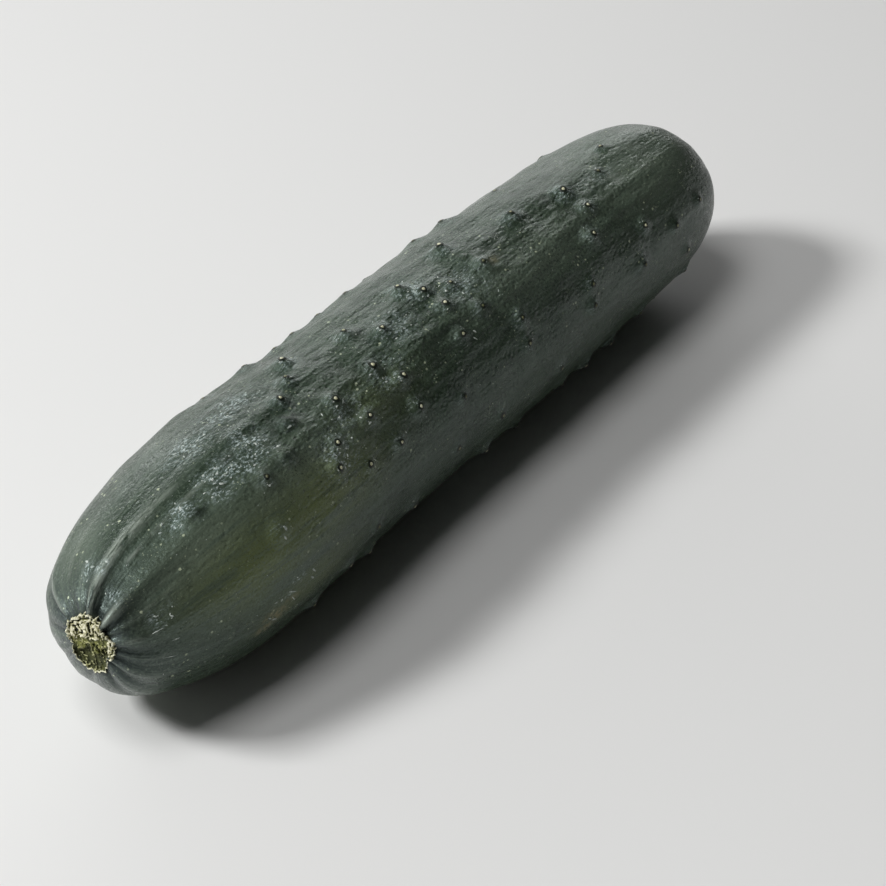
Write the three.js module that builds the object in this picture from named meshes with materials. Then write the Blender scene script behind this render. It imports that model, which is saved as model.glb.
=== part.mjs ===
// Whole cucumber lying on its side, millimetres, +Z up.
// The long axis is X: stem end at -X, blossom end at +X. Degrees run round the fruit:
// 0 on top, 90 on the -Y side, 180 underneath.
import * as THREE from 'three';
import { ConvexHull } from 'three/addons/math/ConvexHull.js';

// Plain form
const LENGTH = 230;
const STATION = 46;
const HALF_GIRTH = [20.5, 24.2, 23.0, 23.3, 22.3, 21.5];
const STEM_CAP = 66;
const STEM_POWER = 3.3;
const TIP_CAP = 50;
const TIP_POWER = 3.7;
const BOW = 2.3;
const SWAY = -0.1;
const STEM_LIFT = 1.2;
const STEM_SIDE = 1.4;
const STEM_TURN = 24;
const SCAR_LIFT = 3.2;
const SCAR_SIDE = 2.3;
const SCAR_TURN = 10;
const AXIS_HEIGHT = 23.0;
const FLAT_DEPTH = 0.6;
const FLAT_FROM = 42;
const FLAT_TO = 168;
const FLAT_FADE = 26;
const THREE_SIDED = 0.3;
const SIDES_TURN = 200;
const WAVE = 0.22;

// Ribs that run out from the stem end: degrees round, share of the full height, half width in degrees
const RIBS = [
  [3, 1.0, 6], [31, 0.8, 6], [66, 0.45, 8], [108, 0.4, 10], [135, 0.3, 12],
  [168, 0.25, 14], [208, 0.25, 14], [250, 0.25, 14], [285, 0.35, 12], [308, 0.6, 8],
];
const RIB_HEIGHT = 1.15;
const RIB_REACH = 16;
const RIB_REST = 0.3;

// Small dent at the blossom end
const DENT_DEPTH = 0.8;
const DENT_RADIUS = 3.2;

// Stalk stub and the socket it sits in; the ragged outline is degrees round, distance from the middle
const STUB_OUTLINE = [
  [0, 7.0], [23, 6.9], [40, 5.3], [70, 6.4], [96, 5.7], [125, 4.6], [141, 5.8],
  [158, 6.6], [191, 6.9], [219, 6.7], [252, 5.0], [267, 5.7], [298, 6.0], [326, 5.8], [360, 7.0],
];
const STUB_SIDES = 36;
const STUB_BACK = 2.2;
const STUB_PROUD = 0.7;
const SOCKET_GAP = 0.45;
const SOCKET_FLOOR = 2.6;
const SKIN_FROM = 9.2;

// Mesh
const COARSE = 3.9;
const FINE = 2.3;
const FINE_TO = 16;
const COARSE_FROM = 46;
const JITTER = 0.09;
const WART_LONG = 1.2;

// Warts seen on the top and near side: mm from the stem end, degrees round, half width, height
const NEAR_WARTS = [
  [175, 10, 4.2, 1.3], [175, 27, 3.6, 1.0], [169, 42, 3.8, 1.1], [199, -3, 3.0, 0.6],
  [157, 3, 4.3, 1.0], [187, 57, 3.0, 0.7], [198, 70, 2.8, 0.6], [211, 67, 2.6, 0.5],
  [203, 93, 2.8, 0.6], [182, 77, 4.2, 1.0], [161, 65, 3.0, 0.7], [160, 77, 3.3, 0.8],
  [189, 12, 2.8, 0.4], [134, 54, 3.3, 0.8], [133, 68, 3.2, 0.7],
  [136, -10, 4.2, 1.1], [116, -4, 4.0, 1.0], [119, 8, 3.0, 0.7], [119, 22, 3.3, 0.9],
  [126, 14, 2.8, 0.5], [137, 17, 3.3, 0.7], [126, 36, 3.5, 0.9], [116, 41, 3.2, 0.8],
  [95, -3, 4.2, 1.0], [101, 11, 3.6, 0.9], [90, 24, 3.5, 0.9], [94, 38, 3.5, 0.9],
  [93, 56, 3.3, 0.9], [107, 68, 3.0, 0.7], [79, 43, 3.4, 0.8], [75, 26, 3.6, 0.9],
  [83, 64, 3.2, 0.8], [67, 43, 3.0, 0.7], [63, 53, 3.0, 0.8], [72, 62, 2.6, 0.5],
  [79, -15, 4.3, 1.2], [73, -2, 3.4, 0.9], [66, 7, 3.6, 1.0], [62, 19, 3.2, 0.7],
  [46, 34, 3.0, 0.7], [54, 33, 3.2, 0.5], [36, 20, 3.2, 0.5], [41, 58, 3.2, 0.6],
  [72, 99, 3.2, 0.6], [27, 23, 3.2, 0.4], [143, -42, 4.4, 0.7], [153, -40, 4.4, 0.7],
  [116, -42, 3.4, 0.3], [105, -42, 3.6, 0.5], [96, -43, 3.4, 0.5], [89, -42, 3.8, 0.6],
  [79, -43, 3.8, 0.6], [65, -44, 3.6, 0.5], [88, 112, 3.4, 0.6], [63, 112, 3.2, 0.5],
  [121, 98, 3.4, 0.6], [146, 101, 3.2, 0.5], [104, 96, 3.0, 0.5], [171, -33, 3.2, 0.4],
];

// Warts on the far side and underneath, placed by a seeded draw
const FAR_WARTS = 54;
const FAR_FROM = 122;
const FAR_TO = 306;
const FAR_SPACING = 10.5;
const CLEAR_OF_FLAT = 27;
const SEED = 2741;

const rad = (degrees) => degrees * Math.PI / 180;
const clamp = (value) => Math.min(Math.max(value, 0), 1);

function smooth(value) {
  const k = clamp(value);
  return k * k * (3 - 2 * k);
}

function drawer(seed) {
  let state = seed;
  return () => {
    state = (state * 16807) % 2147483647;
    return state / 2147483647;
  };
}

function angleGap(a, b) {
  const gap = (((a - b) % 360) + 540) % 360;
  return gap - 180;
}

// Half girth between the stations, a smooth curve through all six
function halfGirth(x) {
  const k = Math.min(Math.max(Math.floor(x / STATION), 0), HALF_GIRTH.length - 2);
  const w = x / STATION - k;
  const last = HALF_GIRTH.length - 1;
  const a = HALF_GIRTH[Math.max(k - 1, 0)];
  const b = HALF_GIRTH[k];
  const c = HALF_GIRTH[k + 1];
  const d = HALF_GIRTH[Math.min(k + 2, last)];
  const into = (c - a) / 2;
  const out = (d - b) / 2;
  return b + into * w + (3 * (c - b) - 2 * into - out) * w * w + (2 * (b - c) + into + out) * w ** 3;
}

function radiusAt(x) {
  const stem = 1 - (1 - clamp(x / STEM_CAP)) ** STEM_POWER;
  const tip = 1 - (1 - clamp((LENGTH - x) / TIP_CAP)) ** TIP_POWER;
  return halfGirth(x) * stem ** (1 / STEM_POWER) * tip ** (1 / TIP_POWER);
}

// The side profile as equal steps of a turn, with its length along the skin
const STEPS = 3000;
const profile = [];
for (let i = 0; i <= STEPS; i += 1) {
  const x = LENGTH * (1 - Math.cos(Math.PI * i / STEPS)) / 2;
  const r = i === 0 || i === STEPS ? 0 : radiusAt(x);
  const before = profile[i - 1];
  const step = before ? Math.hypot(x - before.x, r - before.r) : 0;
  profile.push({ x, r, s: before ? before.s + step : 0, m: 0 });
}
const SKIN_LENGTH = profile[STEPS].s;

// m is the skin length counted in radii, which keeps small shapes undistorted on a ball
for (let i = 2; i < STEPS; i += 1) {
  const here = profile[i];
  const before = profile[i - 1];
  here.m = before.m + 2 * (here.s - before.s) / (here.r + before.r);
}
profile[STEPS].m = profile[STEPS - 1].m + 3;
const MIDDLE = profile[STEPS / 2].m;

// Finds the profile at a given x, s or r; an r is looked for on the stem side
function lookUp(key, value) {
  let low = 0;
  let high = STEPS;
  while (high - low > 1) {
    const half = (low + high) >> 1;
    if (profile[half][key] <= value) low = half;
    else high = half;
  }
  const a = profile[low];
  const b = profile[high];
  const w = clamp((value - a[key]) / (b[key] - a[key]));
  const mix = (name) => a[name] + (b[name] - a[name]) * w;
  return { x: mix('x'), r: mix('r'), s: mix('s'), m: mix('m') };
}

function axisAt(x) {
  const t = x / LENGTH;
  const turn = clamp(1 - x / STEM_TURN) ** 2;
  const scar = clamp(1 - x / SCAR_TURN) ** 2;
  const bow = BOW * (4 * t * (1 - t) - 2 / 3) + SWAY * Math.sin(2 * Math.PI * t);
  return {
    y: bow - STEM_SIDE * turn - SCAR_SIDE * scar,
    z: AXIS_HEIGHT + STEM_LIFT * turn + SCAR_LIFT * scar,
  };
}

// Relief of the skin, measured square to it
function ribRelief(s, degrees) {
  const near = RIB_HEIGHT * Math.exp(-Math.max(s - 9, 0) / RIB_REACH);
  const last = RIB_REST * smooth(s / 30) * smooth((SKIN_LENGTH - s) / 40);
  let rise = 0;
  for (const [at, share, width] of RIBS) {
    rise = Math.max(rise, share * Math.exp(-((angleGap(degrees, at) / width) ** 2)));
  }
  return (near + last) * (rise - 0.2);
}

function plainRelief(s, degrees) {
  const body = smooth((s - 12) / 40) * smooth((SKIN_LENGTH - s) / 40);
  const sides = THREE_SIDED * Math.cos(rad(3 * degrees + SIDES_TURN));
  const wave = WAVE * Math.sin(s / 13 + Math.cos(rad(degrees)) * 2) * Math.cos(rad(2 * degrees) + s / 31);
  const dent = DENT_DEPTH * Math.exp(-(((SKIN_LENGTH - s) / DENT_RADIUS) ** 2));
  return ribRelief(s, degrees) + body * (sides + wave) - dent;
}

function placeWarts() {
  const warts = NEAR_WARTS.map(([x, degrees, width, height]) => ({ x, degrees, width, height }));
  const draw = drawer(SEED);
  let tries = 0;
  let made = 0;
  while (made < FAR_WARTS && tries < 6000) {
    tries += 1;
    const x = 50 + 160 * draw();
    const degrees = FAR_FROM + (FAR_TO - FAR_FROM) * draw();
    const size = draw();
    const round = HALF_GIRTH[2];
    const apart = (other) => Math.hypot(x - other.x, rad(angleGap(degrees, other.degrees)) * round);
    const free = warts.every((other) => apart(other) > FAR_SPACING);
    const onFlat = Math.abs(angleGap(degrees, 180)) < CLEAR_OF_FLAT;
    if (free && !onFlat) {
      warts.push({ x, degrees, width: 2.9 + 1.2 * size, height: 0.4 + 0.5 * size });
      made += 1;
    }
  }
  for (const wart of warts) {
    const at = lookUp('x', wart.x);
    wart.s = at.s;
    wart.r = at.r;
  }
  return warts;
}
const warts = placeWarts();

// How far a spot is from a wart's middle, 1 at the foot of its mound
function wartReach(wart, s, degrees) {
  const along = (s - wart.s) / (wart.width * WART_LONG);
  const round = rad(angleGap(degrees, wart.degrees)) * wart.r / wart.width;
  return Math.hypot(along, round);
}

function wartRelief(s, degrees) {
  let rise = 0;
  for (const wart of warts) {
    const reach = wartReach(wart, s, degrees);
    if (reach < 1) {
      const inside = 1 - reach * reach;
      rise = Math.max(rise, wart.height * (0.8 * inside ** 1.6 + 0.2 * inside ** 6));
    }
  }
  return rise;
}

// A spot of the skin in space
function skinPoint(s, degrees) {
  const here = lookUp('s', s);
  const a = lookUp('s', Math.max(s - 0.5, 0));
  const b = lookUp('s', Math.min(s + 0.5, SKIN_LENGTH));
  const size = Math.hypot(b.x - a.x, b.r - a.r);
  const relief = plainRelief(s, degrees) + wartRelief(s, degrees);
  const x = here.x - relief * (b.r - a.r) / size;
  const r = here.r + relief * (b.x - a.x) / size;
  const axis = axisAt(here.x);
  const y = axis.y - r * Math.sin(rad(degrees));
  let up = r * Math.cos(rad(degrees));
  if (up < 0) {
    const fade = smooth((here.x - FLAT_FROM + FLAT_FADE) / FLAT_FADE);
    const under = fade * smooth((FLAT_TO + FLAT_FADE - here.x) / FLAT_FADE);
    up *= 1 + under * ((AXIS_HEIGHT + FLAT_DEPTH) / halfGirth(here.x) - 1);
  }
  return new THREE.Vector3(x, y, Math.max(axis.z + up, 0));
}

// Ragged outline of the stalk stub
function stubRadius(degrees) {
  const turned = ((degrees % 360) + 360) % 360;
  const next = STUB_OUTLINE.findIndex(([at]) => at > turned);
  const [from, a] = STUB_OUTLINE[next - 1];
  const [to, b] = STUB_OUTLINE[next];
  return a + (b - a) * smooth((turned - from) / (to - from));
}

// A spot near the stem pole, given by depth and distance from the axis
function polePoint(x, r, degrees) {
  const axis = axisAt(x);
  return new THREE.Vector3(x, axis.y - r * Math.sin(rad(degrees)), axis.z + r * Math.cos(rad(degrees)));
}

// Every spot keeps a twin on a ball, where the hull joins neighbours
function fruitSpots() {
  const spots = [];
  const add = (m, degrees, point) => {
    const rim = 1 / Math.cosh(m - MIDDLE);
    const ball = new THREE.Vector3(
      Math.tanh(m - MIDDLE),
      -rim * Math.sin(rad(degrees)),
      rim * Math.cos(rad(degrees)),
    );
    spots.push({ ball, point });
  };
  const addSkin = (s, degrees) => add(lookUp('s', s).m, degrees, skinPoint(s, degrees));

  spots.push({ ball: new THREE.Vector3(-1, 0, 0), point: polePoint(SOCKET_FLOOR, 0, 0) });
  const step = 360 / STUB_SIDES;
  for (let i = 0; i < STUB_SIDES; i += 1) {
    const edge = stubRadius(i * step) + SOCKET_GAP;
    if (i % 3 === 0) add(lookUp('s', 2.4).m, i * step, polePoint(SOCKET_FLOOR, edge / 2, i * step));
    add(lookUp('s', 5).m, (i + 0.4) * step, polePoint(SOCKET_FLOOR, edge, i * step));
    add(lookUp('s', 7).m, (i + 0.7) * step, skinPoint(lookUp('r', edge + 0.15).s, i * step));
  }

  const draw = drawer(SEED + 1);
  let s = SKIN_FROM;
  let row = 0;
  while (s < SKIN_LENGTH - 1.6) {
    const gap = FINE + (COARSE - FINE) * smooth((s - FINE_TO) / (COARSE_FROM - FINE_TO));
    const ring = lookUp('s', s);
    const count = Math.max(Math.round(2 * Math.PI * ring.r / gap), 6);
    for (let i = 0; i < count; i += 1) {
      const degrees = (i + (row % 2) / 2 + JITTER * (draw() - 0.5)) * 360 / count;
      const at = s + JITTER * gap * (draw() - 0.5);
      const clear = warts.every((wart) => wartReach(wart, at, degrees) > 1.12);
      if (clear) addSkin(at, degrees);
    }
    s += gap * 0.866;
    row += 1;
  }
  addSkin(SKIN_LENGTH - 0.001, 0);

  for (const wart of warts) {
    const ring = (count, reach, turn) => {
      for (let i = 0; i < count; i += 1) {
        const a = 2 * Math.PI * (i + turn) / count;
        const along = Math.cos(a) * reach * wart.width * WART_LONG;
        const round = Math.sin(a) * reach * wart.width / wart.r;
        addSkin(wart.s + along, wart.degrees + round * 180 / Math.PI);
      }
    };
    addSkin(wart.s, wart.degrees);
    ring(6, 0.34, 0.2);
    ring(10, 0.78, 0.4);
  }
  return spots;
}

function solidFrom(points, faces) {
  const geometry = new THREE.BufferGeometry();
  const positions = points.flatMap((point) => [point.x, point.y, point.z]);
  geometry.setAttribute('position', new THREE.Float32BufferAttribute(positions, 3));
  geometry.setIndex(faces);
  geometry.computeVertexNormals();
  return geometry;
}

function fruitGeometry() {
  const spots = fruitSpots();
  const index = new Map(spots.map((spot, i) => [spot.ball, i]));
  const hull = new ConvexHull().setFromPoints(spots.map((spot) => spot.ball));
  const faces = [];
  for (const face of hull.faces) {
    let edge = face.edge;
    do {
      faces.push(index.get(edge.head().point));
      edge = edge.next;
    } while (edge !== face.edge);
  }
  if (faces.length !== 3 * (2 * spots.length - 4)) {
    throw new Error('the skin does not close over every spot');
  }
  return solidFrom(spots.map((spot) => spot.point), faces);
}

// Stub: raised fibrous part at the top, a lower hollow towards the underside
function stubTop(part, degrees) {
  const upper = 0.5 + 0.5 * Math.cos(rad(degrees + 20));
  const rim = part ** 3 * (0.75 + 0.3 * Math.cos(rad(5 * degrees)));
  const fibres = 0.22 * part * Math.cos(rad(9 * degrees + 30));
  return -STUB_PROUD * (0.55 * upper + rim + fibres) + 0.75 * (1 - upper) * (1 - part ** 4);
}

function stubGeometry() {
  const SIDES = STUB_SIDES;
  const PARTS = [0.3, 0.58, 0.8, 1];
  const points = [polePoint(stubTop(0, 0), 0, 0), polePoint(STUB_BACK, 0, 0)];
  for (const part of PARTS) {
    for (let i = 0; i < SIDES; i += 1) {
      const degrees = i * 360 / SIDES;
      points.push(polePoint(stubTop(part, degrees), part * stubRadius(degrees), degrees));
    }
  }
  for (let i = 0; i < SIDES; i += 1) {
    const degrees = i * 360 / SIDES;
    points.push(polePoint(STUB_BACK, stubRadius(degrees) - 0.1, degrees));
  }
  const at = (ring, i) => 2 + ring * SIDES + i % SIDES;
  const faces = [];
  for (let i = 0; i < SIDES; i += 1) {
    faces.push(0, at(0, i + 1), at(0, i));
    for (let ring = 0; ring < PARTS.length; ring += 1) {
      faces.push(at(ring, i), at(ring, i + 1), at(ring + 1, i + 1));
      faces.push(at(ring, i), at(ring + 1, i + 1), at(ring + 1, i));
    }
    faces.push(1, at(PARTS.length, i), at(PARTS.length, i + 1));
  }
  return solidFrom(points, faces);
}

function piece(name, geometry, color, roughness) {
  const material = new THREE.MeshStandardMaterial({ color, roughness, metalness: 0 });
  material.name = name;
  const mesh = new THREE.Mesh(geometry, material);
  mesh.name = name;
  return mesh;
}

const cucumber = new THREE.Group();
cucumber.name = 'cucumber';
cucumber.add(piece('fruit', fruitGeometry(), 0x2c3b2f, 0.5));
cucumber.add(piece('stalk_stub', stubGeometry(), 0xa89c68, 0.9));

// The frame's origin is the bottom centre of the whole
const box = new THREE.Box3().setFromObject(cucumber);
const middle = box.getCenter(new THREE.Vector3());
for (const mesh of cucumber.children) {
  mesh.geometry.translate(-middle.x, -middle.y, -box.min.z);
}

export default cucumber;
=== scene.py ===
"""Looks of the whole cucumber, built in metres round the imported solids.

The skin is made from the same named values as the solids: x runs in millimetres from the
stem end, degrees run round the fruit with 0 on top and 90 on the -Y side.
"""
import math

import bpy
import numpy as np
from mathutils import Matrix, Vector


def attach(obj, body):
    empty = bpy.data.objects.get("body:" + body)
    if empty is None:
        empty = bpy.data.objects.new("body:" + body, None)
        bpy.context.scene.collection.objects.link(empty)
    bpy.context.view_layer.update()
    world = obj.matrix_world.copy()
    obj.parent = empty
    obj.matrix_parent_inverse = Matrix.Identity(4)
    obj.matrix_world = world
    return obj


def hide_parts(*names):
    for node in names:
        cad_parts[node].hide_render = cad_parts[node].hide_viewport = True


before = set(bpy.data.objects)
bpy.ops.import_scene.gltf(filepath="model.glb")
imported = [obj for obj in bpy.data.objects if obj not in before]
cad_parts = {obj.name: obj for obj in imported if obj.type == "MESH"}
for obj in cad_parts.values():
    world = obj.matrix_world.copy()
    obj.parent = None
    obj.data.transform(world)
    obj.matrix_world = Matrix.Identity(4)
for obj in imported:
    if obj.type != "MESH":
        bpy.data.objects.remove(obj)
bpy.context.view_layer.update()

MM = 0.001

# Plain form, as in the solids
LENGTH = 230.0
STATION = 46.0
HALF_GIRTH = (20.5, 24.2, 23.0, 23.3, 22.3, 21.5)
STEM_CAP = 66.0
STEM_POWER = 3.3
TIP_CAP = 50.0
TIP_POWER = 3.7
BOW = 2.3
SWAY = -0.1
STEM_LIFT = 1.2
STEM_SIDE = 1.4
STEM_TURN = 24.0
SCAR_LIFT = 3.2
SCAR_SIDE = 2.3
SCAR_TURN = 10.0
AXIS_HEIGHT = 23.0
FLAT_DEPTH = 0.6
FLAT_FROM = 42.0
FLAT_TO = 168.0
FLAT_FADE = 26.0
THREE_SIDED = 0.3
SIDES_TURN = 200
WAVE = 0.22
ORIGIN_X = 114.468
ORIGIN_Y = 0.452

# Ribs: degrees round, share of the full height, half width in degrees
RIBS = (
    (3, 1.0, 6), (31, 0.8, 6), (66, 0.45, 8), (108, 0.4, 10), (135, 0.3, 12),
    (168, 0.25, 14), (208, 0.25, 14), (250, 0.25, 14), (285, 0.35, 12), (308, 0.6, 8),
)
RIB_HEIGHT = 1.15
RIB_FULL_TO = 9.0
RIB_REACH = 16.0
RIB_REST = 0.3
RIB_MEAN = 0.2
# Relief fades over this length of skin towards the blossom end
END_FADE = 40.0
DENT_DEPTH = 0.8
DENT_RADIUS = 3.2

# Ragged outline of the stalk stub: degrees round, distance from its middle
STUB_OUTLINE = (
    (0, 7.0), (23, 6.9), (40, 5.3), (70, 6.4), (96, 5.7), (125, 4.6), (141, 5.8),
    (158, 6.6), (191, 6.9), (219, 6.7), (252, 5.0), (267, 5.7), (298, 6.0), (326, 5.8), (360, 7.0),
)
WART_LONG = 1.2

# Warts: mm from the stem end, degrees round, half width, height, paleness of the tip
NEAR_WARTS = (
    (175, 10, 4.2, 1.3, 1.0), (175, 27, 3.6, 1.0, 0.8), (169, 42, 3.8, 1.1, 1.0),
    (199, -3, 3.0, 0.6, 0.5), (157, 3, 4.3, 1.0, 0.4), (187, 57, 3.0, 0.7, 0.6), (198, 70, 2.8, 0.6, 0.4),
    (211, 67, 2.6, 0.5, 0.4), (203, 93, 2.8, 0.6, 0.7), (182, 77, 4.2, 1.0, 0.2),
    (161, 65, 3.0, 0.7, 0.3), (160, 77, 3.3, 0.8, 0.1), (189, 12, 2.8, 0.4, 0.3),
    (134, 54, 3.3, 0.8, 0.2), (133, 68, 3.2, 0.7, 0.4), (136, -10, 4.2, 1.1, 0.8),
    (116, -4, 4.0, 1.0, 0.7), (119, 8, 3.0, 0.7, 0.8), (119, 22, 3.3, 0.9, 1.0), (126, 14, 2.8, 0.5, 0.4),
    (137, 17, 3.3, 0.7, 0.3), (126, 36, 3.5, 0.9, 0.2), (116, 41, 3.2, 0.8, 0.5), (95, -3, 4.2, 1.0, 0.5),
    (101, 11, 3.6, 0.9, 0.6), (90, 24, 3.5, 0.9, 1.0), (94, 38, 3.5, 0.9, 0.8), (93, 56, 3.3, 0.9, 0.9),
    (107, 68, 3.0, 0.7, 0.2), (79, 43, 3.4, 0.8, 0.7), (75, 26, 3.6, 0.9, 1.0), (83, 64, 3.2, 0.8, 0.6),
    (67, 43, 3.0, 0.7, 0.8), (63, 53, 3.0, 0.8, 1.0), (72, 62, 2.6, 0.5, 0.6), (79, -15, 4.3, 1.2, 0.7),
    (73, -2, 3.4, 0.9, 0.4), (66, 7, 3.6, 1.0, 0.8), (62, 19, 3.2, 0.7, 0.0), (46, 34, 3.0, 0.7, 0.3),
    (54, 33, 3.2, 0.5, 0.0), (36, 20, 3.2, 0.5, 0.0), (41, 58, 3.2, 0.6, 0.0), (72, 99, 3.2, 0.6, 0.3),
    (27, 23, 3.2, 0.4, 0.0), (143, -42, 4.4, 0.7, 0.3), (153, -40, 4.4, 0.7, 0.3),
    (116, -42, 3.4, 0.3, 0.2), (105, -42, 3.6, 0.5, 0.4), (96, -43, 3.4, 0.5, 0.4),
    (89, -42, 3.8, 0.6, 0.4), (79, -43, 3.8, 0.6, 0.4), (65, -44, 3.6, 0.5, 0.4),
    (88, 112, 3.4, 0.6, 0.5), (63, 112, 3.2, 0.5, 0.5), (121, 98, 3.4, 0.6, 0.4),
    (146, 101, 3.2, 0.5, 0.4), (104, 96, 3.0, 0.5, 0.4), (171, -33, 3.2, 0.4, 0.4),
)
FAR_WARTS = 54
FAR_FROM = 122.0
FAR_TO = 306.0
FAR_SPACING = 10.5
CLEAR_OF_FLAT = 27.0
SEED = 2741

# Patches of the skin: mm from the stem end, degrees round, half length, half width in mm, strength
SCUFFS = (
    (27, 18, 3.6, 2.0, 1.0), (24, 21, 2.6, 1.6, 0.7), (40, 16, 5.0, 2.6, 1.0), (44, 21, 5.5, 2.6, 1.0),
    (36, 23, 3.5, 2.4, 0.7), (5, 22, 1.6, 1.6, 0.9), (10, 58, 2.6, 2.0, 1.0), (7, -12, 2.2, 0.9, 0.9),
    (8.5, 1, 1.8, 1.2, 1.0), (51, 15, 4.0, 4.5, 0.9), (66, 47, 4.5, 4.0, 0.8), (42, -8, 6.0, 3.0, 0.7),
    (74, 33, 7.0, 3.0, 0.5), (92, 31, 5.0, 3.5, 0.6), (104, 14, 6.0, 4.0, 0.6), (118, 2, 4.0, 4.5, 0.8),
    (128, 18, 6.0, 5.0, 0.5), (58, -12, 8.0, 3.0, 0.8), (186, 15, 5.0, 2.5, 0.4), (43, 88, 2.0, 0.7, 1.0),
    (38, 93, 3.0, 0.6, 0.7), (120, 150, 9.0, 5.0, 0.6), (70, -95, 12.0, 4.0, 0.7),
    (155, -110, 9.0, 5.0, 0.6), (190, -70, 6.0, 4.0, 0.5), (30, -120, 7.0, 4.0, 0.6),
)
STAINS = (
    (30, 25, 2.6, 2.0, 1.0), (19, 43, 1.6, 1.2, 0.8), (33, 39, 1.2, 0.6, 1.0), (18, 51, 1.2, 0.8, 0.8),
    (44, 13, 2.6, 1.6, 0.8), (54, 33, 3.8, 1.4, 0.9), (62, 18, 4.5, 3.2, 0.9), (69, 15, 3.0, 1.6, 0.8),
    (22, 95, 6.0, 2.6, 0.5), (126, 37, 3.0, 2.0, 0.7), (182, 77, 3.5, 3.0, 0.8), (97, 2, 3.5, 2.5, 0.7),
    (73, 3, 3.0, 1.6, 0.8), (88, 20, 4.0, 2.2, 0.6), (112, 30, 4.0, 2.4, 0.5), (150, 60, 5.0, 3.0, 0.5),
    (100, -140, 5.0, 3.0, 0.6), (150, 140, 4.0, 3.0, 0.6),
)
OLIVE = (
    (34, 66, 20.0, 7.5, 1.0), (55, 62, 22.0, 7.0, 1.0), (48, 95, 16.0, 5.0, 0.6), (84, 40, 14.0, 6.0, 0.35),
    (110, -100, 30.0, 9.0, 0.6), (60, 165, 34.0, 10.0, 1.0), (140, 175, 40.0, 10.0, 1.0),
)
TAN = (
    (36, 101, 3.4, 1.5, 1.0), (33, 106, 2.4, 1.0, 0.8), (41, 97, 2.6, 0.7, 0.6), (140, 19, 2.0, 1.0, 0.6),
    (95, -150, 5.0, 2.0, 0.8),
)
# Greyer, lighter skin, partly its own tone and partly painted light and sheen
FADED_AND_PAINTED_LIGHT = (
    (24, 46, 24.0, 9.0, 1.0), (54, 46, 28.0, 8.0, 1.0), (12, -30, 8.0, 5.0, 0.8), (200, 34, 24.0, 9.0, 0.9),
    (150, 34, 34.0, 7.0, 0.8), (150, -60, 30.0, 9.0, 0.5), (40, -130, 24.0, 12.0, 0.7),
)

# Small pale marks: mm from the stem end, degrees round, half length, half width in mm, degrees turned
MARKS = (
    (42.6, 58, 0.60, 0.34, 70), (41.6, 62, 0.55, 0.26, 80), (48.1, 90, 0.95, 0.22, 50),
    (47.6, 94, 0.70, 0.20, 50), (41.0, 93, 1.20, 0.16, 30), (41.4, 98, 0.90, 0.14, 55),
    (45.6, 38, 0.30, 0.22, 0), (38.0, 22, 0.60, 0.26, 30), (68.4, 48, 0.42, 0.28, 10),
    (71.6, 46, 0.34, 0.24, 0), (78.1, 46, 0.40, 0.22, 0), (77.2, 41, 0.34, 0.20, 40),
    (119.1, 47, 0.75, 0.18, 60), (120.2, 44, 0.45, 0.16, 60), (72.5, 61, 0.50, 0.12, 45),
    (74.0, 62, 0.50, 0.10, 45), (118.6, 12, 0.32, 0.26, 0), (123.2, 16, 0.32, 0.24, 0),
    (8.0, 65, 1.30, 0.10, 0), (9.0, 90, 1.50, 0.09, 10), (11.0, 78, 0.90, 0.08, 5),
    (36.0, 104, 0.90, 0.20, 20), (34.5, 101, 0.60, 0.16, 40), (8.2, -8, 0.50, 0.34, 60),
    (9.0, -15, 0.40, 0.28, 110), (10.0, 3, 0.50, 0.30, 70), (55.0, 26, 0.50, 0.20, 20),
    (61.0, 22, 0.60, 0.18, 10),
)
FLECKS_PER_MM2 = 0.55
LONE_FLECKS = 170
# Rings of a fleck as reach and height in mm, and the height of its middle
FLECK_SIDES = 9
FLECK_RINGS = ((1.15, -0.16), (1.0, 0.035), (0.5, 0.06))
FLECK_TOP = 0.065

# Creases that run into the stalk scar: degrees round, depth, reach in mm
CREASES = (
    (-5, 0.7, 4.0), (13, 0.8, 6.0), (22, 0.5, 6.0), (40, 0.55, 7.0), (56, 0.3, 6.0), (80, 0.5, 10.0),
    (97, 0.35, 8.0), (-28, 0.25, 5.0), (-60, 0.4, 9.0), (121, 0.4, 9.0), (150, 0.4, 9.0), (188, 0.35, 8.0),
    (228, 0.35, 9.0), (268, 0.35, 8.0),
)
# Pale lengthwise lines: degrees round, from and to in mm along the skin, half width in mm, strength
LINES = (
    (3, 6, 52, 1.1, 0.95), (14, 22, 62, 0.35, 0.7), (31, 6, 20, 0.9, 0.9), (66, 8, 22, 0.45, 0.6),
    (-53, 7, 30, 0.6, 0.6), (-14, 12, 34, 0.4, 0.35), (-30, 14, 44, 0.4, 0.3), (48, 10, 30, 0.35, 0.35),
    (88, 9, 26, 0.4, 0.3), (108, 8, 24, 0.5, 0.4), (135, 8, 26, 0.6, 0.4), (205, 8, 28, 0.8, 0.4),
    (250, 8, 26, 0.8, 0.4),
)

# Grid of the skin: rows along it, closer at the stem end, and columns round it
ROWS = 452
ROWS_CLOSER = 1.15
COLUMNS = 208
# Its first row's distance from the stem end and its last row's from the blossom end, in mm along the skin
FIRST_ROW = 3.2
LAST_ROW = 0.35

# Socket of the stalk at the stem end, and the dark seam round it, in mm
STEM_END = 30.0
SOCKET_DEPTH = 2.3
SOCKET_WALL = 1.1
SEAM_AWAY = 0.5
SEAM_WIDTH = 0.45

# Knob, pucker and swelling of a wart, as shares of its height
PLAIN_KNOB = (0.24, 0.1, 0.0)
SMOOTH_KNOB = (0.1, 0.0, 0.0)
STEEP_KNOB = (0.32, 0.14, 0.12)
CALM_KNOB = (0.32, 0.14, 0.0)
# Their half widths, and how far the pucker lies from the middle, in mm
KNOB_WIDTH = 1.2
PUCKER_AT = 2.9
PUCKER_WIDTH = 0.9
SWELL_WIDTH = 2.4
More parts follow.
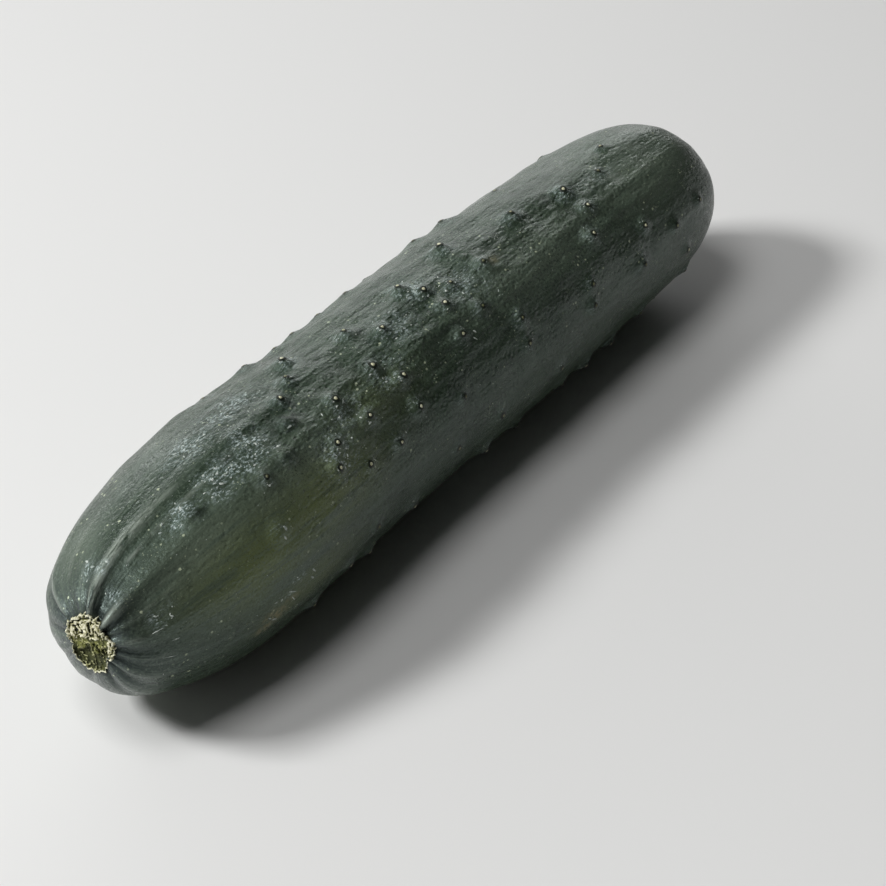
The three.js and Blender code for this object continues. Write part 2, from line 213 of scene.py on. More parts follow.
# Smooth warts end and calm ones start at these distances from the stem end, in mm
SMOOTH_TO = 50.0
CALM_FROM = 165.0
# Steep warts lie between those distances, and calm and steep ones between these degrees
STEEP_FROM = -25
STEEP_TO = 62

# Waves of the fine relief: how many, shortest and longest in mm, share lengthwise, height
DIMPLES = (26, 7.0, 19.0, 1.0, 0.055)
WRINKLES = (22, 2.6, 5.0, 0.22, 0.024)

# Corky points: rings from the dark collar to the top, as reach, rise and how much of the collar
TIP_SIDES = 12
TIP_ROWS = (
    (2.6, -0.5, 1.0), (1.9, 0.0, 1.0), (1.2, -0.1, 0.8), (1.0, 0.12, 0.0), (0.76, 0.34, 0.0),
    (0.36, 0.38, 0.1),
)
TIP_TOP = 0.30
TIP_LIFT = 0.05

# Grid of the stalk scar, how far back its rim reaches in mm, and the size of its random fields
STUB_SIDES = 240
STUB_RINGS = 60
STUB_BACK = 2.0
SWELL_GRID = 64


def smooth(value):
    k = np.clip(value, 0, 1)
    return k * k * (3 - 2 * k)


def bell(value):
    return np.exp(-(value**2))


def angle_gap(a, b):
    return (a - b + 180.0) % 360.0 - 180.0


def draws(seed):
    state = seed
    while True:
        state = state * 16807 % 2147483647
        yield state / 2147483647


def half_girth(x):
    last = len(HALF_GIRTH) - 1
    k = np.clip((x / STATION).astype(int), 0, last - 1)
    w = x / STATION - k
    girth = np.array(HALF_GIRTH)
    a, b = girth[np.maximum(k - 1, 0)], girth[k]
    c, d = girth[k + 1], girth[np.minimum(k + 2, last)]
    into, out = (c - a) / 2, (d - b) / 2
    return b + into * w + (3 * (c - b) - 2 * into - out) * w**2 + (2 * (b - c) + into + out) * w**3


def radius_at(x):
    stem = 1 - (1 - np.clip(x / STEM_CAP, 0, 1)) ** STEM_POWER
    tip = 1 - (1 - np.clip((LENGTH - x) / TIP_CAP, 0, 1)) ** TIP_POWER
    return half_girth(x) * stem ** (1 / STEM_POWER) * tip ** (1 / TIP_POWER)


STEPS = 3000
prof_x = LENGTH * (1 - np.cos(np.pi * np.arange(STEPS + 1) / STEPS)) / 2
prof_r = radius_at(prof_x)
prof_r[0] = prof_r[-1] = 0
prof_s = np.concatenate([[0], np.cumsum(np.hypot(np.diff(prof_x), np.diff(prof_r)))])
SKIN_LENGTH = prof_s[-1]


def x_at(s):
    return np.interp(s, prof_s, prof_x)


def r_at(s):
    return np.interp(s, prof_s, prof_r)


def axis_at(x):
    t = x / LENGTH
    turn = np.clip(1 - x / STEM_TURN, 0, 1) ** 2
    scar = np.clip(1 - x / SCAR_TURN, 0, 1) ** 2
    y = BOW * (4 * t * (1 - t) - 2 / 3) + SWAY * np.sin(2 * np.pi * t) - STEM_SIDE * turn - SCAR_SIDE * scar
    return y, AXIS_HEIGHT + STEM_LIFT * turn + SCAR_LIFT * scar


def place_warts():
    """The placed warts, and drawn ones on the far side, clear of each other and of the flat strip."""
    placed = [list(wart) for wart in NEAR_WARTS]
    draw = draws(SEED)
    made = tries = 0
    while made < FAR_WARTS and tries < 6000:
        tries += 1
        x = 50 + 160 * next(draw)
        degrees = FAR_FROM + (FAR_TO - FAR_FROM) * next(draw)
        size = next(draw)
        free = all(
            math.hypot(x - w[0], math.radians(angle_gap(degrees, w[1])) * HALF_GIRTH[2]) > FAR_SPACING
            for w in placed
        )
        if free and abs(angle_gap(degrees, 180.0)) >= CLEAR_OF_FLAT:
            placed.append([x, degrees, 2.9 + 1.2 * size, 0.4 + 0.5 * size, (size * 7.3) % 1])
            made += 1
    return placed


warts = place_warts()


def rib_relief(s, degrees):
    near = RIB_HEIGHT * np.exp(-np.maximum(s - RIB_FULL_TO, 0) / RIB_REACH)
    last = RIB_REST * smooth(s / 30) * smooth((SKIN_LENGTH - s) / END_FADE)
    rise = np.zeros(np.broadcast(s, degrees).shape)
    for at, share, width in RIBS:
        rise = np.maximum(rise, share * bell(angle_gap(degrees, at) / width))
    return (near + last) * (rise - RIB_MEAN)


def plain_relief(s, degrees):
    body = smooth((s - 12) / 40) * smooth((SKIN_LENGTH - s) / END_FADE)
    turned = np.radians(degrees)
    sides = THREE_SIDED * np.cos(3 * turned + math.radians(SIDES_TURN))
    wave = WAVE * np.sin(s / 13 + np.cos(turned) * 2) * np.cos(2 * turned + s / 31)
    dent = DENT_DEPTH * bell((SKIN_LENGTH - s) / DENT_RADIUS)
    return rib_relief(s, degrees) + body * (sides + wave) - dent


def spot_reach(s, degrees, x, turned, along, across):
    """Distance from a spot's middle, 1 at its edge."""
    s0 = np.interp(x, prof_x, prof_s)
    r0 = r_at(s0)
    return np.hypot((s - s0) / along, np.radians(angle_gap(degrees, turned)) * r0 / across)


def wart_relief(s, degrees):
    rise = np.zeros(np.broadcast(s, degrees).shape)
    for x, turned, width, height, _ in warts:
        reach = spot_reach(s, degrees, x, turned, width * WART_LONG, width)
        inside = np.clip(1 - reach**2, 0, 1)
        rise = np.maximum(rise, height * (0.8 * inside**1.6 + 0.2 * inside**6))
    return rise


def warty_zone(s, degrees):
    """1 where the skin is rough between the warts, low at the smooth stem end and on the near side."""
    x = x_at(s)
    along = smooth((x - 34) / 34) * (0.35 + 0.65 * smooth((200 - x) / 50)) * smooth((226 - x) / 30)
    round_top = smooth((92 - np.abs(angle_gap(degrees, 0.0))) / 60)
    round_far = 0.7 * smooth((70 - np.abs(angle_gap(degrees, -110.0))) / 40)
    return along * (0.3 + 0.7 * np.maximum(round_top, round_far))


def knob_relief(s, degrees):
    """Small steep knob on each mound, in a slight pucker."""
    rise = np.zeros(np.broadcast(s, degrees).shape)
    for x, turned, _, height, _ in warts:
        away = spot_reach(s, degrees, x, turned, 1.0, 1.0)
        steep, pucker, swell = PLAIN_KNOB
        if x < SMOOTH_TO:
            steep, pucker, swell = SMOOTH_KNOB
        elif STEEP_FROM < turned < STEEP_TO:
            steep, pucker, swell = STEEP_KNOB if x < CALM_FROM else CALM_KNOB
        knob = steep * bell(away / KNOB_WIDTH) - pucker * bell((away - PUCKER_AT) / PUCKER_WIDTH)
        knob = knob + swell * bell(away / SWELL_WIDTH)
        rise = rise + height * knob
    return rise


def crease_depth(s, degrees):
    depth = np.zeros(np.broadcast(s, degrees).shape)
    for at, deep, reach in CREASES:
        across = angle_gap(degrees, at) / (3.6 + 0.12 * s)
        depth = depth + deep * bell(across) * np.exp(-np.maximum(s - 7, 0) / reach)
    return depth * smooth((r_at(s) - stub_radius(degrees) + 0.8) / 1.6)


def line_strength(s, degrees):
    total = np.zeros(np.broadcast(s, degrees).shape)
    for at, start, end, half, strength in LINES:
        across = np.radians(angle_gap(degrees, at + 0.6 * np.sin(s / 5.0))) * r_at(s) / half
        span = smooth((s - start) / 2.0) * smooth((end - s) / (0.6 * (end - start)))
        total = np.maximum(total, strength * span * bell(across))
    return total


def wave_sum(spot, rng, count, shortest, longest, lengthwise, height):
    total = np.zeros(spot.shape[:-1])
    for _ in range(count):
        way = rng.normal(size=3) * (lengthwise, 1.0, 1.0)
        way *= 2 * np.pi / rng.uniform(shortest, longest) / np.linalg.norm(way)
        total += np.sin(spot @ way + rng.uniform(0, 6.28))
    return height * total


def fine_relief(s, degrees):
    """Dimples between the warts, creases round the stalk scar and lengthwise wrinkles."""
    x = x_at(s)
    turned = np.radians(degrees)
    r = np.maximum(r_at(s), 1.0)
    spot = np.stack(np.broadcast_arrays(x, r * np.cos(turned), r * np.sin(turned)), -1)
    rng = np.random.default_rng(SEED)
    waves = wave_sum(spot, rng, *DIMPLES) + wave_sum(spot, rng, *WRINKLES)
    fine = (0.15 + 0.85 * warty_zone(s, degrees)) * waves
    under = smooth((40 - np.abs(angle_gap(degrees, 180.0))) / 14)
    under = under * smooth((x - 24) / 12) * smooth((190 - x) / 12)
    return fine * (1 - under) - crease_depth(s, degrees) + 0.22 * line_strength(s, degrees)


def skin_point(s, degrees):
    """Places on the skin in metres."""
    s, degrees = np.broadcast_arrays(np.asarray(s, float), np.asarray(degrees, float))
    x0, r0 = x_at(s), r_at(s)
    low, high = np.maximum(s - 0.5, 0), np.minimum(s + 0.5, SKIN_LENGTH)
    dx, dr = x_at(high) - x_at(low), r_at(high) - r_at(low)
    size = np.hypot(dx, dr)
    relief = plain_relief(s, degrees) + wart_relief(s, degrees)
    relief = relief + knob_relief(s, degrees) + fine_relief(s, degrees)
    x = x0 - relief * dr / size
    r = r0 + relief * dx / size
    y0, z0 = axis_at(x0)
    y = y0 - r * np.sin(np.radians(degrees))
    up = r * np.cos(np.radians(degrees))
    under = smooth((x0 - FLAT_FROM + FLAT_FADE) / FLAT_FADE)
    under = under * smooth((FLAT_TO + FLAT_FADE - x0) / FLAT_FADE)
    stretch = 1 + under * ((AXIS_HEIGHT + FLAT_DEPTH) / half_girth(x0) - 1)
    up = np.where(up < 0, up * stretch, up)
    z = np.maximum(z0 + up, 0)
    return np.stack([x - ORIGIN_X, y - ORIGIN_Y, z], -1) * MM


def object_from(name, points, faces, layers=None):
    mesh = bpy.data.meshes.new(name)
    mesh.from_pydata([tuple(p) for p in points], [], faces)
    for key, values in (layers or {}).items():
        values = np.asarray(values, dtype=np.float32)
        flat = values.ndim == 1
        layer = mesh.attributes.new(key, "FLOAT" if flat else "FLOAT_VECTOR", "POINT")
        layer.data.foreach_set("value" if flat else "vector", values.ravel())
    mesh.polygons.foreach_set("use_smooth", [True] * len(mesh.polygons))
    mesh.update()
    piece = bpy.data.objects.new(name, mesh)
    bpy.context.scene.collection.objects.link(piece)
    return piece


def between_rings(first, second, sides):
    """Four sided faces from one ring of points to the next."""
    faces = []
    for j in range(sides):
        k = (j + 1) % sides
        faces.append((first + j, first + k, second + k, second + j))
    return faces


def stacked_rings(base, rings, sides):
    faces = []
    for row in range(rings - 1):
        faces += between_rings(base + row * sides, base + (row + 1) * sides, sides)
    return faces


def cap(ring, middle, sides, turned_round=False):
    """Three sided faces from a ring to its middle point."""
    faces = []
    for j in range(sides):
        k = (j + 1) % sides
        faces.append((middle, ring + k, ring + j) if turned_round else (middle, ring + j, ring + k))
    return faces


def with_poles(values):
    return np.concatenate([values.ravel(), [values[0].mean(), values[-1].mean()]])


def patches(s, degrees, spots):
    total = np.zeros(np.broadcast(s, degrees).shape)
    for x, turned, along, across, strength in spots:
        reach = spot_reach(s, degrees, x, turned, along, across)
        total = np.maximum(total, strength * bell(reach))
    return total


def skin_layers(s, degrees, seam):
    """What the skin's material needs to know at each point."""
    ring = np.zeros(s.shape)
    crown_wax_and_glint = np.zeros(s.shape)
    for x, turned, width, height, pale in warts:
        reach = spot_reach(s, degrees, x, turned, width * WART_LONG, width)
        # Crowns of the warts, where the pale flecks are partly wax and partly painted glints
        crown_wax_and_glint = np.maximum(crown_wax_and_glint, np.clip(1 - reach, 0, 1) * height)
        ring = np.maximum(ring, bell((reach * width - 0.9) / 0.6) * (0.3 + 0.4 * pale))
    return {
        "scuff": patches(s, degrees, SCUFFS),
        "stain": patches(s, degrees, STAINS),
        "olive": patches(s, degrees, OLIVE),
        "tan": patches(s, degrees, TAN),
        # Greyer, lighter skin, partly its own tone and partly painted light and sheen
        "faded_and_painted_light": patches(s, degrees, FADED_AND_PAINTED_LIGHT),
        "warty": warty_zone(s, degrees),
        "ring": ring,
        "crown_wax_and_glint": crown_wax_and_glint,
        "near_stem": np.exp(-np.maximum(s - 8, 0) / 7.0),
        "near_tip": bell((SKIN_LENGTH - s) / 3.4),
        # Painted shade in the creases round the stalk scar, and the dark seam round it
        "crease_shade_and_seam": np.maximum(np.clip(crease_depth(s, degrees) * 2.4, 0, 1), 0.8 * seam),
        "line": line_strength(s, degrees),
    }


def make_skin():
    """One closed skin from the edge of the stalk scar to the blossom end."""
    share = np.linspace(0, 1, ROWS) ** ROWS_CLOSER
    s = FIRST_ROW + (SKIN_LENGTH - LAST_ROW - FIRST_ROW) * share
    grid_s, grid_d = np.meshgrid(s, np.arange(COLUMNS) * 360.0 / COLUMNS, indexing="ij")
    points = skin_point(grid_s, grid_d)
    at_stem = grid_s < STEM_END
    past_stub = r_at(grid_s) - stub_radius(grid_d)
    points[..., 0] += SOCKET_DEPTH * smooth(-past_stub / SOCKET_WALL) * at_stem * MM
    seam = bell((past_stub - SEAM_AWAY) / SEAM_WIDTH) * at_stem
    layers = {key: with_poles(values) for key, values in skin_layers(grid_s, grid_d, seam).items()}
    # Coordinates of the skin laid flat lengthwise, for streaks along it
    turned = np.radians(grid_d)
    girth = HALF_GIRTH[2]
    flow = np.stack([grid_s, girth * np.sin(turned), girth * np.cos(turned)], -1) * MM
    layers["flow"] = np.concatenate([flow.reshape(-1, 3), [[0, 0, 0], [SKIN_LENGTH * MM, 0, 0]]])
    poles = [points[0].mean(axis=0), points[-1].mean(axis=0)]
    stem, tip, last = ROWS * COLUMNS, ROWS * COLUMNS + 1, (ROWS - 1) * COLUMNS
    faces = stacked_rings(0, ROWS, COLUMNS)
    faces += cap(0, stem, COLUMNS, turned_round=True) + cap(last, tip, COLUMNS)
    return object_from("skin", np.concatenate([points.reshape(-1, 3), poles]), faces, layers)


def skin_frame(x, degrees):
    """Place, outward direction and lengthwise direction at a spot of the skin."""
    s = float(np.interp(x, prof_x, prof_s))
    step = 0.4
    turn = math.degrees(step / max(float(r_at(s)), 1.0))
    here = Vector(skin_point(s, degrees))
    along = Vector(skin_point(s + step, degrees)) - Vector(skin_point(s - step, degrees))
    across = Vector(skin_point(s, degrees + turn)) - Vector(skin_point(s, degrees - turn))
    out = across.cross(along).normalized()
    if out.dot(Vector((0, -math.sin(math.radians(degrees)), math.cos(math.radians(degrees))))) < 0:
        out = -out
    along.normalize()
    return here, out, along


def make_tips():
    """Pale corky point on each wart, with the dark collar it stands in."""
    draw = draws(SEED + 5)
    points, faces, pale_layer, collar_layer = [], [], [], []
    for x, turned, _, _, pale in warts:
        if pale <= 0:
            continue
        shift = 0.5 * (next(draw) - 0.5)
        here, out, along = skin_frame(x + shift, turned)
        across = out.cross(along)
        size = (0.25 + 0.12 * pale) * (0.9 + 0.25 * next(draw))
        base = len(points)
        for wide, high, collar in TIP_ROWS:
            for j in range(TIP_SIDES):
                a = 2 * math.pi * j / TIP_SIDES
                wobble = 1 + 0.1 * math.sin(3 * a + x) + 0.06 * math.sin(5 * a + turned)
                arm = wide * size * wobble
                aside = along * (math.cos(a) * arm * 1.08) + across * (math.sin(a) * arm)
                points.append(here + (aside + out * (high * size + TIP_LIFT)) * MM)
                pale_layer.append(pale)
                collar_layer.append(collar)
        points.append(here + out * ((TIP_TOP * size + TIP_LIFT) * MM))
        pale_layer.append(pale)
        collar_layer.append(0.6)
        faces += stacked_rings(base, len(TIP_ROWS), TIP_SIDES)
        faces += cap(len(points) - 1 - TIP_SIDES, len(points) - 1, TIP_SIDES)
    return object_from("wart_tips", points, faces, {"pale": pale_layer, "collar": collar_layer})


def make_flecks():
    """Thin pale flecks of dry wax: marks, scuffed patches, the crowns of the warts, where they are partly
    wax and partly painted glints, and lone ones.
    """
    rng = np.random.default_rng(SEED + 3)
    spots = [tuple(mark) for mark in MARKS]

    def scatter(x, degrees, along, across, count, largest):
        around = math.degrees(across / max(float(r_at(np.interp(x, prof_x, prof_s))), 4.0))
        for _ in range(int(count)):
            half = largest * (0.3 + 0.7 * rng.random() ** 2)
            spots.append((
                x + along * rng.normal() * 0.6, degrees + around * rng.normal() * 0.6,
                half, half * rng.uniform(0.28, 0.6), rng.normal() * 35,
            ))

    for x, degrees, along, across, strength in SCUFFS:
        scatter(x, degrees, along, across, along * across * strength * FLECKS_PER_MM2 * 3, 0.42)
    # On the crowns of the warts the flecks are partly wax and partly painted glints
    for x, degrees, _, height, pale in warts:
        if pale > 0.2 and height > 0.4:
            scatter(x, degrees, 2.2, 2.0, 3 + 5 * pale, 0.3)
    for _ in range(LONE_FLECKS):
        scatter(rng.uniform(8, 210), rng.uniform(-50, 110), 3, 3, 1, 0.24)
    x, degrees, half, wide, tilt = (np.array(column) for column in zip(*spots))
    x = np.clip(x, 2.0, LENGTH - 3.0)
    s = np.interp(x, prof_x, prof_s)
    step = 0.5
    aside = np.degrees(step / np.maximum(r_at(s), 2.0))
    here = skin_point(s, degrees)
    along = skin_point(s + step, degrees) - skin_point(s - step, degrees)
    across = skin_point(s, degrees + aside) - skin_point(s, degrees - aside)
    along /= np.linalg.norm(along, axis=1, keepdims=True)
    across /= np.linalg.norm(across, axis=1, keepdims=True)
    out = np.cross(along, across)
    out *= np.sign(np.sum(out * (here - [0, 0, AXIS_HEIGHT * MM]) * [0, 1, 1], axis=1, keepdims=True))
    points, faces = [], []
    for i in range(len(x)):
        base = len(points)
        c, d = math.cos(math.radians(tilt[i])), math.sin(math.radians(tilt[i]))
        longways, sideways = along[i] * c + across[i] * d, across[i] * c - along[i] * d
        ragged = rng.uniform(0.7, 1.25, FLECK_SIDES)
        for reach, high in FLECK_RINGS:
            for j in range(FLECK_SIDES):
                a = 2 * math.pi * j / FLECK_SIDES
                arm = reach * ragged[j]
                flat = longways * (math.cos(a) * half[i] * arm) + sideways * (math.sin(a) * wide[i] * arm)
                points.append(here[i] + (flat + out[i] * high) * MM)
        points.append(here[i] + out[i] * (FLECK_TOP * MM))
        faces += stacked_rings(base, len(FLECK_RINGS), FLECK_SIDES)
        faces += cap(len(points) - 1 - FLECK_SIDES, len(points) - 1, FLECK_SIDES)
    return object_from("wax_and_glint_flecks", points, faces)


def stub_radius(degrees):
    at = np.array([spot[0] for spot in STUB_OUTLINE], float)
    size = np.array([spot[1] for spot in STUB_OUTLINE])
    turned = np.mod(degrees, 360.0)
    k = np.clip(np.searchsorted(at, turned, side="right"), 1, len(at) - 1)
    return size[k - 1] + (size[k] - size[k - 1]) * smooth((turned - at[k - 1]) / (at[k] - at[k - 1]))


def swells(a, b, rng):
    """Smooth random field between 0 and 1, with about one swell for each unit of a and b."""
    field = rng.random((SWELL_GRID, SWELL_GRID))
    i, j = np.floor(a).astype(int), np.floor(b).astype(int)
    u, v = smooth(a - i), smooth(b - j)

    def row(at):
        at = at % SWELL_GRID
        return field[i % SWELL_GRID, at] * (1 - u) + field[(i + 1) % SWELL_GRID, at] * u

    return row(j) * (1 - v) + row(j + 1) * v


def make_stub():
    """Dry remnant of the cut stalk: thin pale rim, fibrous upper part, olive middle, sunken lower part."""
    part = 1 - (1 - (np.arange(STUB_RINGS) + 1) / STUB_RINGS) ** 1.4
    grid_p, grid_d = np.meshgrid(part, np.arange(STUB_SIDES) * 360.0 / STUB_SIDES, indexing="ij")
    turned = np.radians(grid_d)
    edge = stub_radius(grid_d) + 0.3
    rough = 0.22 * np.sin(17 * turned + 1) + 0.18 * np.sin(29 * turned) + 0.14 * np.sin(43 * turned + 2)
    r = grid_p * (edge + rough * grid_p**5)
    y, z = -r * np.sin(turned), r * np.cos(turned)
    rim = bell((grid_p - 0.955) / 0.034) * (0.85 + 0.15 * np.sin(11 * turned + 2))
    rng = np.random.default_rng(SEED + 9)
    bend = swells(y / 2.2, z / 2.2, rng) - 0.5
    lean = y + 0.22 * z + 1.1 * bend
    fibre = 0.55 * swells(lean / 0.38, z / 0.95, rng) + 0.45 * swells(lean / 0.26, z / 0.42, rng)
    ridge = smooth((fibre - 0.36) / 0.26)
    # A second edge runs inside the rim, with a dark gap between
    second = 0.80 + 0.04 * np.sin(5 * turned)
    ridge = np.maximum(ridge, 0.9 * bell((grid_p - second) / 0.03))
    ridge = ridge * (1 - 0.8 * bell((grid_p - second - 0.085) / 0.028))
    specks = swells(y / 0.36, z / 0.4, rng)
    # Pale veins fan out downwards from the middle
    fan = np.arctan2(y - 0.3, 0.2 - z) + 0.5 * (swells(y / 1.4, z / 1.4, rng) - 0.5)
    branch = np.abs(np.sin(2.4 * fan + 0.4)) * np.hypot(y - 0.3, z - 0.2) / 2.4
    vein = bell(branch / 0.24) * smooth((0.6 - z) / 0.8)
    vein = np.maximum(vein * smooth((specks - 0.15) / 0.3), smooth((specks - 0.66) / 0.2))
    # Fibrous upper part, olive middle and sunken lower part, each with a ragged border
    tilted = 0.37 * y + 0.93 * z + 3.2 * (fibre - 0.5) + 2.0 * bend
    upper = np.maximum(smooth((tilted - 0.9) / 1.0), smooth((-y - 4.0 + fibre - 0.5) / 0.8))
    lower = smooth((-0.9 - tilted) / 1.6) * (1 - upper)
    high = 0.2 + 0.42 * rim + upper * (0.55 * ridge - 0.05) + 0.16 * vein
    high = high + lower * (0.2 * vein - 0.85 * (1 - grid_p**6))
    high = high - 0.9 * smooth((grid_p - 0.975) / 0.025)
    x = 0.5 - high
    y0, z0 = axis_at(np.clip(x, 0, None))
    points = np.stack([x - ORIGIN_X, y0 + y - ORIGIN_Y, z0 + z], -1).reshape(-1, 3)
    back = points[-STUB_SIDES:].copy()
    back[:, 0] = STUB_BACK - ORIGIN_X
    middles = [points[:STUB_SIDES].mean(axis=0), back.mean(axis=0)]
    points = np.concatenate([points, back, middles]) * MM
    last, top, under = STUB_RINGS * STUB_SIDES, len(points) - 2, len(points) - 1
    faces = stacked_rings(0, STUB_RINGS + 1, STUB_SIDES)
    faces += cap(0, top, STUB_SIDES, turned_round=True) + cap(last, under, STUB_SIDES)
    layers = {"rim": rim, "upper": upper, "lower": lower, "ridge": ridge, "vein": vein}
    layers = {key: with_poles(np.concatenate([values, values[-1:]])) for key, values in layers.items()}
    return object_from("stalk_scar", points, faces, layers)


# Materials
class Nodes:
    """Short hand for laying out a material's nodes."""

    def __init__(self, name):
        self.material = bpy.data.materials.new(name)
        self.material.use_nodes = True
        self.tree = self.material.node_tree
        self.tree.nodes.clear()
        self.shader = self.tree.nodes.new("ShaderNodeBsdfPrincipled")
        out = self.tree.nodes.new("ShaderNodeOutputMaterial")
        self.tree.links.new(self.shader.outputs[0], out.inputs[0])
        self.place = self.tree.nodes.new("ShaderNodeTexCoord").outputs["Object"]

    def link(self, source, socket):
        if hasattr(source, "is_output"):
            self.tree.links.new(source, socket)
        else:
            socket.default_value = source

    def layer(self, name):
        node = self.tree.nodes.new("ShaderNodeAttribute")
        node.attribute_name = name
        return node.outputs["Vector" if name == "flow" else "Fac"]

    def stretched(self, x, y, z, source=None):
        node = self.tree.nodes.new("ShaderNodeMapping")
        node.inputs["Scale"].default_value = (x, y, z)
        self.tree.links.new(source or self.place, node.inputs["Vector"])
        return node.outputs[0]

    def noise(self, scale, detail=3.0, rough=0.55, vector=None, warp=0.0):
        node = self.tree.nodes.new("ShaderNodeTexNoise")
        node.inputs["Scale"].default_value = scale
        node.inputs["Detail"].default_value = detail
        node.inputs["Roughness"].default_value = rough
        node.inputs["Distortion"].default_value = warp
        self.tree.links.new(vector or self.place, node.inputs["Vector"])
        return node.outputs["Fac"]

    def cells(self, scale, vector=None):
        node = self.tree.nodes.new("ShaderNodeTexVoronoi")
        node.inputs["Scale"].default_value = scale
        self.tree.links.new(vector or self.place, node.inputs["Vector"])
        return node.outputs["Distance"]

    def math(self, kind, a, b=0.0, clamp=False):
        node = self.tree.nodes.new("ShaderNodeMath")
        node.operation = kind
        node.use_clamp = clamp
        self.link(a, node.inputs[0])
        self.link(b, node.inputs[1])
        return node.outputs[0]

    def span(self, value, low, high, to_low=0.0, to_high=1.0):
        node = self.tree.nodes.new("ShaderNodeMapRange")
        node.interpolation_type = "SMOOTHSTEP"
        self.link(value, node.inputs["Value"])
        node.inputs["From Min"].default_value = low
        node.inputs["From Max"].default_value = high
        node.inputs["To Min"].default_value = to_low
        node.inputs["To Max"].default_value = to_high
        return node.outputs[0]

    def mix(self, factor, a, b):
        node = self.tree.nodes.new("ShaderNodeMix")
        node.data_type = "RGBA"
        self.link(factor, node.inputs[0])
        for source, socket in ((a, node.inputs[6]), (b, node.inputs[7])):
            if isinstance(source, tuple):
                socket.default_value = (*source, 1.0)
            else:
                self.tree.links.new(source, socket)
        return node.outputs[2]

    def bump(self, height, distance, strength=1.0, normal=None):
        node = self.tree.nodes.new("ShaderNodeBump")
        node.inputs["Strength"].default_value = strength
        node.inputs["Distance"].default_value = distance
        self.tree.links.new(height, node.inputs["Height"])
        if normal:
            self.tree.links.new(normal, node.inputs["Normal"])
        return node.outputs[0]

    def times(self, a, b):
        return self.math("MULTIPLY", a, b)

    def set(self, name, source):
        self.link(source, self.shader.inputs[name])


# Linear colours of the skin
DEEP_GREEN = (0.016, 0.029, 0.016)
MID_GREEN = (0.030, 0.050, 0.028)
MOTTLE = (0.048, 0.073, 0.048)
# Partly the skin's own greyer tone, partly painted light and sheen
FADED_GREEN_AND_PAINTED_LIGHT = (0.138, 0.172, 0.130)
OLIVE_GREEN = (0.155, 0.186, 0.064)
STEM_BLUE = (0.050, 0.056, 0.064)
HAIR_LINE = (0.072, 0.098, 0.072)
LIGHT_GRAIN = (0.115, 0.150, 0.112)
DARK_GRAIN = (0.006, 0.011, 0.006)
SPECK = (0.44, 0.49, 0.34)
RIB_EDGE = (0.32, 0.36, 0.31)
# Painted shade in the creases, also the dark seam round the stalk scar
CREASE_SHADE_AND_SEAM = (0.006, 0.009, 0.009)
# Wax of the scuffs, and painted glints on the crowns of the warts
WORN_WAX_AND_GLINT = (0.19, 0.25, 0.24)
BRIGHT_WAX_AND_GLINT = (0.62, 0.71, 0.70)
STAIN_DARK = (0.006, 0.010, 0.006)
RING_DARK = (0.008, 0.013, 0.007)
DRY_TAN = (0.30, 0.26, 0.14)
BLOSSOM_TAN = (0.23, 0.19, 0.09)
WAX_TINT = (0.80, 1.0, 0.92, 1.0)


